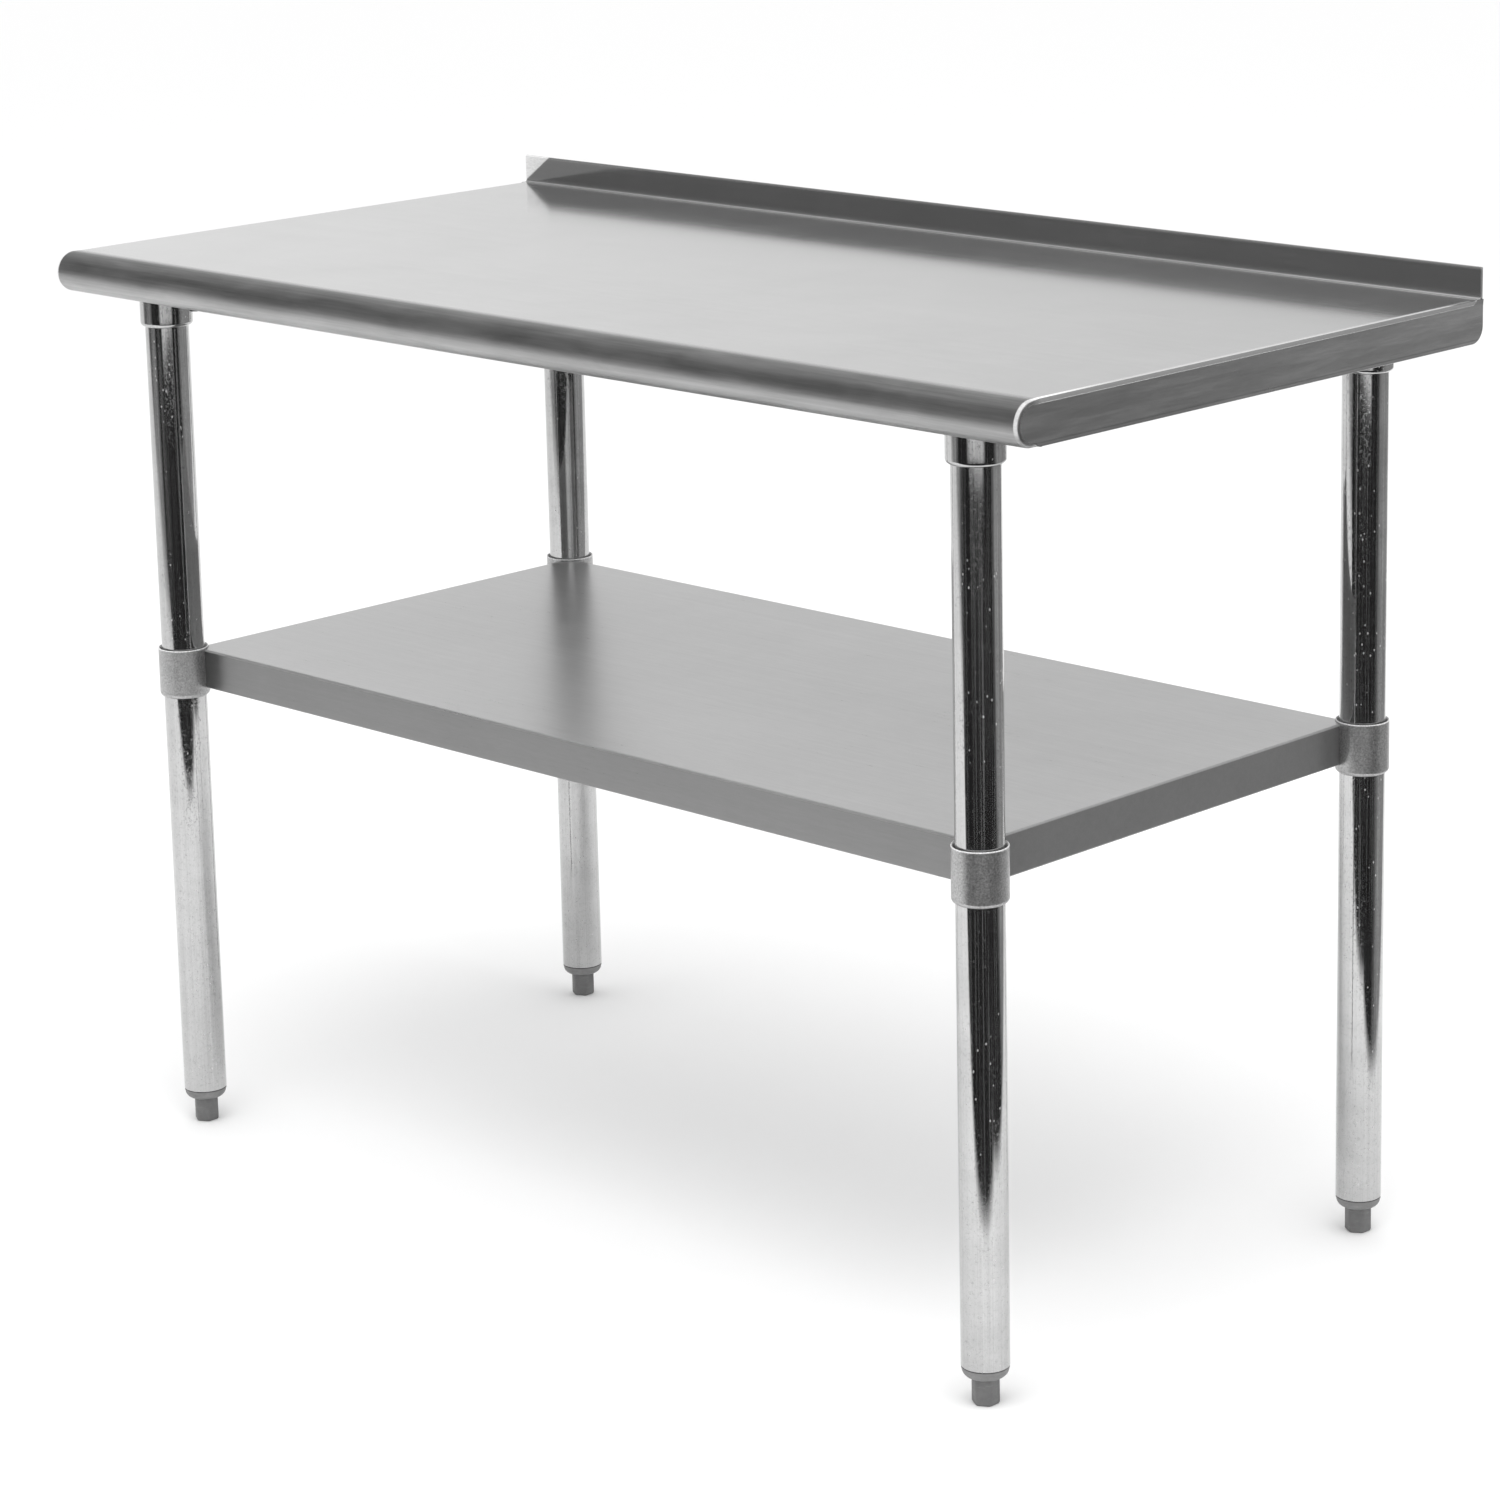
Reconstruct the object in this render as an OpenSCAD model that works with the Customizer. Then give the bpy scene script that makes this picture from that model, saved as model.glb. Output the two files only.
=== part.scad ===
// Stainless work table with rear upstand, adjustable undershelf and levelling feet.
// Frame: X along the table, Y from front to back, Z up, origin on the floor at the middle.

/* [Worktop] */
// Length of the worktop, end to end
top_length = 1219.2; // [1000:1:1600]
// Depth of the worktop, front to back
top_depth = 609.6; // [560:1:800]
// Height of the work surface above the floor
work_height = 863.6; // [780:1:960]
// Height of the front roll and of the end panels
edge_height = 38.1; // [34:0.1:46]
// Height of the rear upstand above the work surface
upstand_height = 28; // [15:1:120]
// Thickness of the worktop sheet
top_sheet = 1.2; // [0.9:0.1:2]

/* [Legs] */
// Outside diameter of the leg tube
leg_od = 41.3; // [38:0.1:45]
// Wall of the leg tube
leg_wall = 1.2; // [1:0.1:2]
// Distance from each end of the worktop to the leg axis
leg_end_inset = 93.6; // [80:0.1:120]
// Distance from the front edge to the front leg axis
leg_front_inset = 56.8; // [50:0.1:90]
// Distance from the back face to the back leg axis
leg_back_inset = 42.8; // [36:0.1:90]
// Height of the lower end of each leg tube above the floor
leg_bottom = 34; // [32:0.5:38]

/* [Leg sockets] */
// Outside diameter of the socket sleeve
socket_od = 49.6; // [48:0.1:54]
// Height of the lower end of the socket sleeve below the work surface
socket_drop = 67; // [60:1:76]
// Side of the square socket plate
socket_plate = 70; // [66:1:76]

/* [Undershelf] */
// Height of the shelf surface above the floor
shelf_height = 480; // [200:1:640]
// Height of the shelf flanges
shelf_flange = 38.1; // [30:0.1:50]
// Thickness of the shelf sheet
shelf_sheet = 1; // [0.8:0.1:1.6]
// Distance that the shelf edges stand inside the leg axes
shelf_inset = 8; // [4:0.5:12]
// Outside diameter of the collars
collar_od = 48; // [47:0.1:52]
// Height of the collars
collar_height = 48; // [40:0.5:60]

/* [Feet] */
// Width across the flats of the foot barrel
foot_flats = 21.6; // [18:0.1:24]
// Diameter of the foot stud
stud_d = 10; // [8:0.5:12]

/* [Hidden] */
$fn = 96;
cut = 0.5;
running_gap = 0.05;
half_l = top_length / 2;
half_d = top_depth / 2;
sides = [-1, 1];

// Places of the leg axes
leg_x = half_l - leg_end_inset;
front_y = -half_d + leg_front_inset;
back_y = half_d - leg_back_inset;
leg_rows = [front_y, back_y];
mid_y = (front_y + back_y) / 2;

// Worktop section
nose_r = edge_height / 2;
nose_y = -half_d + nose_r;
nose_z = work_height - nose_r;
nose_return = 11;
under_top = work_height - top_sheet;
upstand_skin = 1.3;
upstand_bend = 2.5;
rear_return_drop = 21;
rear_lip = 10;
panel_bottom = work_height - edge_height;
panel_corner_r = 15;
panel_lip = 12;

// Hat channels under the top
cross_crown = 76;
cross_flange = 15;
cross_depth = 24;
cross_gauge = 1.5;
cross_front = -half_d + 24;
cross_back = half_d - 12;
centre_crown = 38;
centre_flange = 18;
centre_depth = 24;
centre_gauge = 1.2;
centre_gap = 1;
centre_end = leg_x - cross_crown / 2 - cross_flange - centre_gap;
stud_r_small = 3;
stud_long = 12;
nut_flats = 10;
nut_h = 5;
cross_stud_ys = [-150, 150];
centre_stud_xs = [-300, 300];

// Sockets
plate_gauge = 2.5;
crown_z = under_top - cross_depth;
plate_z = crown_z - plate_gauge;
socket_bottom = work_height - socket_drop;
socket_r = socket_od / 2;
socket_edge_r = 4;
leg_r = leg_od / 2;
leg_inner_r = leg_r - leg_wall;
leg_top = plate_z - 0.1;
plate_screw_at = 27;
plate_screw_r = 2.4;
plate_screw_head_r = 4.6;
plate_screw_head_h = 3.4;
plate_screw_past = 5;
set_r = 4;
set_gap = 0.08;
set_length = 9;
set_key_flats = 4;
set_key_deep = 4;
socket_set_z = socket_bottom + 16;

// Shelf and collars
shelf_x = leg_x - shelf_inset;
shelf_front = front_y + shelf_inset;
shelf_back = back_y - shelf_inset;
shelf_lip = 10;
collar_r = collar_od / 2;
collar_rise = 2;
collar_top = shelf_height + collar_rise;
collar_bottom = collar_top - collar_height;
collar_edge_r = 4;
collar_mouth = 2;
collar_mouth_deep = 5;
collar_set_z = shelf_height - 26;
notch_gap = 0.1;
shelf_channel_crown = 38;
shelf_channel_flange = 16;
shelf_channel_depth = 25;
shelf_channel_end = shelf_x - 28;

// Feet
insert_up = 30;
insert_play = 0.1;
insert_band = 2.5;
insert_dome_r = 8;
insert_edge_r = leg_r - 0.35;
insert_bottom = leg_bottom - insert_band - insert_dome_r;
barrel_gap = 0.3;
barrel_top = insert_bottom - barrel_gap;
barrel_round_r = foot_flats / 2 + 1.1;
barrel_chamfer = 1.6;
barrel_bore_z = 9;
stud_r = stud_d / 2;
stud_bottom = barrel_bore_z + 0.3;
stud_top = leg_bottom + insert_up + 12;

// Extrudes an outline drawn in Y and Z along X, from x0
module along_x(x0, length) {
  translate([x0, 0, 0]) rotate([90, 0, 90]) linear_extrude(length) children();
}

// Extrudes an outline drawn in X and Z along Y, from y0
module along_y(y0, length) {
  translate([0, y0 + length, 0]) rotate([90, 0, 0]) linear_extrude(length) children();
}

// Axis-aligned rectangle from one corner to the other
module rect(a, b) {
  translate(a) square([b[0] - a[0], b[1] - a[1]]);
}

// Puts a copy at every leg axis
module at_legs() {
  for (sx = sides, y = leg_rows) translate([sx * leg_x, y, 0]) children();
}

// Hat section, open upwards, hung from height top
module hat(crown, flange, depth, gauge, top) {
  half = crown / 2;
  difference() {
    rect([-half, top - depth], [half, top]);
    rect([-half + gauge, top - depth + gauge], [half - gauge, top + cut]);
  }
  for (s = sides)
    rect([min(s * half, s * (half + flange)), top - gauge],
         [max(s * half, s * (half + flange)), top]);
}

// ---- Worktop ----

module front_roll() {
  intersection() {
    difference() {
      translate([nose_y, nose_z]) circle(nose_r);
      translate([nose_y, nose_z]) circle(nose_r - top_sheet);
    }
    rect([-half_d - cut, panel_bottom - cut], [nose_y, work_height + cut]);
  }
  rect([nose_y, panel_bottom], [nose_y + nose_return, panel_bottom + top_sheet]);
}

module rear_upstand() {
  thick = 2 * upstand_skin;
  tip_z = work_height + upstand_height - upstand_skin;
  face_y = half_d - thick;
  // Folded sheet, rounded along its top edge
  translate([half_d - upstand_skin, tip_z]) circle(upstand_skin);
  rect([face_y, under_top], [half_d, tip_z]);
  // Rear return and its lip
  rect([half_d - upstand_skin, work_height - rear_return_drop], [half_d, under_top]);
  rect([half_d - rear_lip, work_height - rear_return_drop],
       [half_d, work_height - rear_return_drop + upstand_skin]);
  // Inside bend between the work surface and the upstand
  difference() {
    rect([face_y - upstand_bend, under_top], [face_y, work_height + upstand_bend]);
    translate([face_y - upstand_bend, work_height + upstand_bend]) circle(upstand_bend);
  }
}

module worktop() {
  color("lightgray") along_x(-half_l + top_sheet, top_length - 2 * top_sheet) {
    rect([nose_y, under_top], [half_d - upstand_skin, work_height]);
    front_roll();
    rear_upstand();
  }
}

module end_outline() {
  translate([nose_y, nose_z]) circle(nose_r);
  difference() {
    rect([nose_y, panel_bottom], [half_d, work_height]);
    translate([half_d - panel_corner_r, panel_bottom])
      difference() {
        rect([0, -cut], [panel_corner_r + cut, panel_corner_r]);
        translate([0, panel_corner_r]) circle(panel_corner_r);
      }
  }
}

module end_panel(side) {
  inner_x = half_l - top_sheet;
  lip_front = nose_y + nose_return + 2;
  lip_back = half_d - panel_corner_r;
  color("gray") mirror([side < 0 ? 1 : 0, 0, 0]) {
    along_x(inner_x, top_sheet) end_outline();
    translate([inner_x - panel_lip, lip_front, panel_bottom])
      cube([panel_lip, lip_back - lip_front, top_sheet]);
  }
}

// ---- Channels under the top ----

module cross_channel(side) {
  color("silver") difference() {
    translate([side * leg_x, 0, 0]) along_y(cross_front, cross_back - cross_front)
      hat(cross_crown, cross_flange, cross_depth, cross_gauge, under_top);
    for (y = leg_rows) translate([side * leg_x, y, 0]) plate_screw_places()
      translate([0, 0, crown_z - cut]) cylinder(r = plate_screw_r + set_gap, h = cross_gauge + 2 * cut);
    for (y = cross_stud_ys, s = sides)
      translate([side * leg_x + s * (cross_crown + cross_flange) / 2, y, under_top - cross_gauge - cut])
        cylinder(r = stud_r_small + set_gap, h = cross_gauge + 2 * cut);
  }
}

module centre_channel() {
  color("silver") difference() {
    translate([0, mid_y, 0]) along_x(-centre_end, 2 * centre_end)
      hat(centre_crown, centre_flange, centre_depth, centre_gauge, under_top);
    for (x = centre_stud_xs, s = sides)
      translate([x, mid_y + s * (centre_crown + centre_flange) / 2, under_top - centre_gauge - cut])
        cylinder(r = stud_r_small + set_gap, h = centre_gauge + 2 * cut);
  }
}

// Puts a copy where each welded stud stands
module at_channel_studs() {
  for (sx = sides, y = cross_stud_ys, s = sides)
    translate([sx * leg_x + s * (cross_crown + cross_flange) / 2, y, 0]) children();
  for (x = centre_stud_xs, s = sides)
    translate([x, mid_y + s * (centre_crown + centre_flange) / 2, 0]) children();
}

module channel_studs() {
  color("silver") at_channel_studs()
    translate([0, 0, under_top - stud_long]) cylinder(r = stud_r_small, h = stud_long);
}

module channel_nuts() {
  color("silver") at_channel_studs() translate([0, 0, under_top - cross_gauge - nut_h])
    difference() {
      cylinder(r = nut_flats / sqrt(3), h = nut_h, $fn = 6);
      translate([0, 0, -cut]) cylinder(r = stud_r_small + set_gap, h = nut_h + 2 * cut);
    }
}

// ---- Sockets and their screws ----

module plate_screw_places() {
  for (sx = sides, sy = sides) translate([sx * plate_screw_at, sy * plate_screw_at, 0]) children();
}

// Screw axis from a leg towards the middle of the table, at height z
module towards_middle(sx, sy, z) {
  translate([sx * leg_x, sy < 0 ? front_y : back_y, z])
    rotate([0, 0, atan2(-sy, -sx)]) rotate([0, 90, 0]) children();
}

module socket(sx, sy) {
  y = sy < 0 ? front_y : back_y;
  color("gainsboro") difference() {
    translate([sx * leg_x, y, 0]) {
      translate([-socket_plate / 2, -socket_plate / 2, plate_z])
        cube([socket_plate, socket_plate, plate_gauge]);
      rotate_extrude() {
        rect([0, socket_bottom + socket_edge_r], [socket_r, plate_z + cut]);
        rect([0, socket_bottom], [socket_r - socket_edge_r, plate_z]);
        translate([socket_r - socket_edge_r, socket_bottom + socket_edge_r]) circle(socket_edge_r);
      }
    }
    translate([sx * leg_x, y, socket_bottom - cut])
      cylinder(r = leg_r + set_gap, h = plate_z - socket_bottom + cut);
    translate([sx * leg_x, y, plate_z - cut]) plate_screw_places()
      cylinder(r = plate_screw_r + set_gap, h = plate_gauge + 2 * cut);
    towards_middle(sx, sy, socket_set_z) cylinder(r = set_r + set_gap, h = socket_r + cut);
  }
}

module socket_screws() {
  color("silver") at_legs() plate_screw_places() {
    translate([0, 0, plate_z - plate_screw_head_h])
      cylinder(r = plate_screw_head_r, h = plate_screw_head_h, $fn = 6);
    translate([0, 0, plate_z - plate_screw_head_h])
      cylinder(r = plate_screw_r, h = plate_screw_head_h + plate_gauge + cross_gauge + plate_screw_past);
  }
}

// Socket head set screw whose point stands just off the tube
module set_screw(sx, sy, z) {
  tip = leg_r + set_gap;
  towards_middle(sx, sy, z) difference() {
    translate([0, 0, tip]) cylinder(r = set_r, h = set_length);
    translate([0, 0, tip + set_length - set_key_deep])
      cylinder(r = set_key_flats / sqrt(3), h = set_key_deep + cut, $fn = 6);
  }
}

module leg_set_screws() {
  color("dimgray") for (sx = sides, sy = sides) set_screw(sx, sy, socket_set_z);
}

// ---- Legs ----

module leg(sx, sy) {
  color("whitesmoke") translate([sx * leg_x, sy < 0 ? front_y : back_y, leg_bottom]) difference() {
    cylinder(r = leg_r, h = leg_top - leg_bottom);
    translate([0, 0, -cut]) cylinder(r = leg_inner_r, h = leg_top - leg_bottom + 2 * cut);
  }
}

// ---- Undershelf ----

module shelf_plan(inset) {
  rect([-shelf_x + inset, shelf_front + inset], [shelf_x - inset, shelf_back - inset]);
}

module undershelf() {
  bottom = shelf_height - shelf_flange;
  color("lightgray") difference() {
    translate([0, 0, bottom]) linear_extrude(shelf_flange) shelf_plan(0);
    translate([0, 0, bottom + shelf_sheet]) linear_extrude(shelf_flange - 2 * shelf_sheet)
      shelf_plan(shelf_sheet);
    translate([0, 0, bottom - cut]) linear_extrude(shelf_flange / 2) shelf_plan(shelf_lip);
    at_legs() translate([0, 0, bottom - cut])
      cylinder(r = collar_r + notch_gap, h = shelf_flange + 2 * cut);
  }
}

module shelf_channel() {
  color("silver") translate([0, mid_y, 0]) along_x(-shelf_channel_end, 2 * shelf_channel_end)
    hat(shelf_channel_crown, shelf_channel_flange, shelf_channel_depth, shelf_sheet,
        shelf_height - shelf_sheet);
}

module collar(sx, sy) {
  color("lightgray") difference() {
    translate([sx * leg_x, sy < 0 ? front_y : back_y, 0]) difference() {
      rotate_extrude() {
        rect([0, collar_bottom + collar_edge_r], [collar_r, collar_top]);
        rect([0, collar_bottom], [collar_r - collar_edge_r, collar_top]);
        translate([collar_r - collar_edge_r, collar_bottom + collar_edge_r]) circle(collar_edge_r);
      }
      translate([0, 0, collar_bottom - cut])
        cylinder(r = leg_r + running_gap, h = collar_height + 2 * cut);
      translate([0, 0, collar_top - collar_mouth_deep])
        cylinder(r1 = leg_r + running_gap, r2 = leg_r + running_gap + collar_mouth, h = collar_mouth_deep + 0.01);
    }
    towards_middle(sx, sy, collar_set_z) cylinder(r = set_r + set_gap, h = collar_r + cut);
  }
}

module collar_set_screws() {
  color("dimgray") for (sx = sides, sy = sides) set_screw(sx, sy, collar_set_z);
}

// ---- Feet ----

module foot_insert(sx, sy) {
  color("dimgray") translate([sx * leg_x, sy < 0 ? front_y : back_y, 0]) difference() {
    rotate_extrude() {
      rect([0, leg_bottom - 0.01], [leg_inner_r - insert_play, leg_bottom + insert_up]);
      rect([0, leg_bottom - insert_band], [insert_edge_r, leg_bottom]);
      intersection() {
        translate([insert_edge_r - insert_dome_r, leg_bottom - insert_band]) circle(insert_dome_r);
        rect([0, insert_bottom], [leg_r, leg_bottom - insert_band]);
      }
      rect([0, insert_bottom], [insert_edge_r - insert_dome_r, leg_bottom]);
    }
    translate([0, 0, insert_bottom - cut])
      cylinder(r = stud_r + running_gap, h = insert_up + leg_bottom - insert_bottom + 2 * cut);
  }
}

module foot_stud(sx, sy) {
  color("silver") translate([sx * leg_x, sy < 0 ? front_y : back_y, stud_bottom])
    cylinder(r = stud_r, h = stud_top - stud_bottom);
}

module foot_barrel(sx, sy) {
  color("dimgray") translate([sx * leg_x, sy < 0 ? front_y : back_y, 0]) difference() {
    intersection() {
      cylinder(r = foot_flats / sqrt(3), h = barrel_top, $fn = 6);
      rotate_extrude() {
        rect([0, barrel_chamfer], [barrel_round_r, barrel_top]);
        polygon([[0, 0], [barrel_round_r - barrel_chamfer, 0],
                 [barrel_round_r, barrel_chamfer], [0, barrel_chamfer]]);
      }
    }
    translate([0, 0, barrel_bore_z]) cylinder(r = stud_r + running_gap, h = barrel_top);
  }
}

worktop();
end_panel(-1);  // left_end_panel
end_panel(1);  // right_end_panel
cross_channel(-1);  // left_cross_channel
cross_channel(1);  // right_cross_channel
centre_channel();
channel_studs();
channel_nuts();
socket(-1, -1);  // front_left_socket
socket(1, -1);  // front_right_socket
socket(-1, 1);  // back_left_socket
socket(1, 1);  // back_right_socket
socket_screws();
leg_set_screws();
leg(-1, -1);  // front_left_leg
leg(1, -1);  // front_right_leg
leg(-1, 1);  // back_left_leg
leg(1, 1);  // back_right_leg
undershelf();
shelf_channel();
collar(-1, -1);  // front_left_collar
collar(1, -1);  // front_right_collar
collar(-1, 1);  // back_left_collar
collar(1, 1);  // back_right_collar
collar_set_screws();
foot_insert(-1, -1);  // front_left_foot_insert
foot_insert(1, -1);  // front_right_foot_insert
foot_insert(-1, 1);  // back_left_foot_insert
foot_insert(1, 1);  // back_right_foot_insert
foot_stud(-1, -1);  // front_left_foot_stud
foot_stud(1, -1);  // front_right_foot_stud
foot_stud(-1, 1);  // back_left_foot_stud
foot_stud(1, 1);  // back_right_foot_stud
foot_barrel(-1, -1);  // front_left_foot_barrel
foot_barrel(1, -1);  // front_right_foot_barrel
foot_barrel(-1, 1);  // back_left_foot_barrel
foot_barrel(1, 1);  // back_right_foot_barrel
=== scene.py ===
import math

import bmesh
import bpy
from mathutils import Matrix, Vector


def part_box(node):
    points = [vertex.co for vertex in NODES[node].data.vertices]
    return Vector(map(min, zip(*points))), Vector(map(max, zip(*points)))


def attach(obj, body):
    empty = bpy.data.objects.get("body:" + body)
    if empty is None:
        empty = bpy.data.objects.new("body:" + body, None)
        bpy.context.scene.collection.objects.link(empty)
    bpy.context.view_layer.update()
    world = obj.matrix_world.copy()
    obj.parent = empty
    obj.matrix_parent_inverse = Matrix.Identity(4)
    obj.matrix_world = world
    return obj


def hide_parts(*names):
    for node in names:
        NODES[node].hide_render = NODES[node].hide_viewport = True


# Stainless work table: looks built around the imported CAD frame, in metres
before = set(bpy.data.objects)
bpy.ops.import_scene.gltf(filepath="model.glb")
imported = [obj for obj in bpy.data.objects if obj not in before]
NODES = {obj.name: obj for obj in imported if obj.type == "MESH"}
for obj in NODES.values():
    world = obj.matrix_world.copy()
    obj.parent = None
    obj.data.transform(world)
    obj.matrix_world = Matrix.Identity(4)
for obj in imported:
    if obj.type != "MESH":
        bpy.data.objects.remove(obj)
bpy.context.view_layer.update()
CORNERS = ["front_left", "front_right", "back_left", "back_right"]
MM = 0.001

# ---- Places and sizes, read from the CAD nodes ----


def leg_axis(corner):
    lo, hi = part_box(corner + "_leg")
    return (lo.x + hi.x) / 2, (lo.y + hi.y) / 2


AXES = {c: leg_axis(c) for c in CORNERS}
LEG_X = AXES["front_right"][0]
FRONT_Y = AXES["front_right"][1]
BACK_Y = AXES["back_right"][1]
LEG_LO, LEG_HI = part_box("front_left_leg")
LEG_R = (LEG_HI.x - LEG_LO.x) / 2
TOP_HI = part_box("worktop")[1]
PANEL_LO, PANEL_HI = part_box("right_end_panel")
SHELF_LO, SHELF_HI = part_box("undershelf")
COLLAR_LO, COLLAR_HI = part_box("front_left_collar")
BARREL_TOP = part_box("front_left_foot_barrel")[1].z
HALF_LENGTH = PANEL_HI.x
HALF_DEPTH = TOP_HI.y
WORK_Z = PANEL_HI.z

# ---- Mesh helpers ----


def piece(name, bm, body, nodes, material, smooth_deg=35, modifiers=()):
    """Object from a bmesh, with its modifiers, material and body; it hides the nodes that it stands for."""
    mesh = bpy.data.meshes.new(name)
    bm.to_mesh(mesh)
    bm.free()
    for polygon in mesh.polygons:
        polygon.use_smooth = True
    mesh.set_sharp_from_angle(angle=math.radians(smooth_deg))
    modifiers = list(modifiers) + [("WEIGHTED_NORMAL", {"keep_sharp": True})]
    mesh.materials.append(material)
    obj = bpy.data.objects.new(name, mesh)
    bpy.context.scene.collection.objects.link(obj)
    for kind, settings in modifiers:
        modifier = obj.modifiers.new(kind.title(), kind)
        for key, value in settings.items():
            setattr(modifier, key, value)
    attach(obj, body)
    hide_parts(*nodes)
    return obj


def add_grid(bm, rows, uvs, closed=False):
    """Quads between rows of points; closed joins each row's end to its start."""
    layer = bm.loops.layers.uv.verify()
    made = [[bm.verts.new(p) for p in row] for row in rows]
    count = len(rows[0])
    for i in range(len(rows) - 1):
        for j in range(count if closed else count - 1):
            k = (j + 1) % count
            quad = [made[i][j], made[i][k], made[i + 1][k], made[i + 1][j]]
            spots = [uvs[i][j], uvs[i][j + 1], uvs[i + 1][j + 1], uvs[i + 1][j]]
            face = bm.faces.new(quad)
            for loop, uv in zip(face.loops, spots):
                loop[layer].uv = uv
    return made


def add_cap(bm, verts, flat_uv, flip=False):
    """One face over a ring of points."""
    layer = bm.loops.layers.uv.verify()
    face = bm.faces.new(list(reversed(verts)) if flip else verts)
    for loop in face.loops:
        loop[layer].uv = flat_uv(loop.vert.co)


def add_lathe(bm, outline, centre, steps, radius_at=None):
    """Turns a closed outline of (radius, z) round a vertical axis; radius_at bends the circle."""
    rows, uvs = [], []
    ring = outline + outline[:1]
    along = 0.0
    for n, (r, z) in enumerate(ring):
        if n:
            along += math.hypot(r - ring[n - 1][0], z - ring[n - 1][1])
        row, uv = [], []
        for k in range(steps + 1):
            turn = 2 * math.pi * k / steps
            bent = r if radius_at is None else radius_at(turn, r)
            if k < steps:
                row.append((centre[0] + bent * math.cos(turn), centre[1] + bent * math.sin(turn), z))
            uv.append((turn * LEG_R, along))
        rows.append(row)
        uvs.append(uv)
    add_grid(bm, rows, uvs, closed=True)
    bmesh.ops.remove_doubles(bm, verts=bm.verts, dist=1e-6)
    bmesh.ops.recalc_face_normals(bm, faces=bm.faces)


def arc(cx, cz, r, start, end, steps):
    """Points on a circle from start to end, in degrees."""
    spots = [math.radians(start + (end - start) * k / steps) for k in range(steps + 1)]
    return [(cx + r * math.cos(a), cz + r * math.sin(a)) for a in spots]


def spread(lo, hi, steps):
    """Evenly spaced values from lo to hi, both included."""
    return [lo + (hi - lo) * k / steps for k in range(steps + 1)]


def smooth_step(x, lo, hi):
    """0 below lo and 1 above hi, with a level start and end."""
    t = min(max((x - lo) / (hi - lo), 0), 1)
    return t * t * (3 - 2 * t)


def outward(points, closed=False):
    """Unit normals to the left of a line of points in a plane."""
    found = []
    last = len(points) - 1
    for n in range(len(points)):
        a = points[n - 1] if n or closed else points[n]
        b = points[(n + 1) % len(points)] if n < last or closed else points[n]
        dx, dz = b[0] - a[0], b[1] - a[1]
        size = math.hypot(dx, dz) or 1
        found.append((-dz / size, dx / size))
    return found


# ---- Material helpers ----


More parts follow.
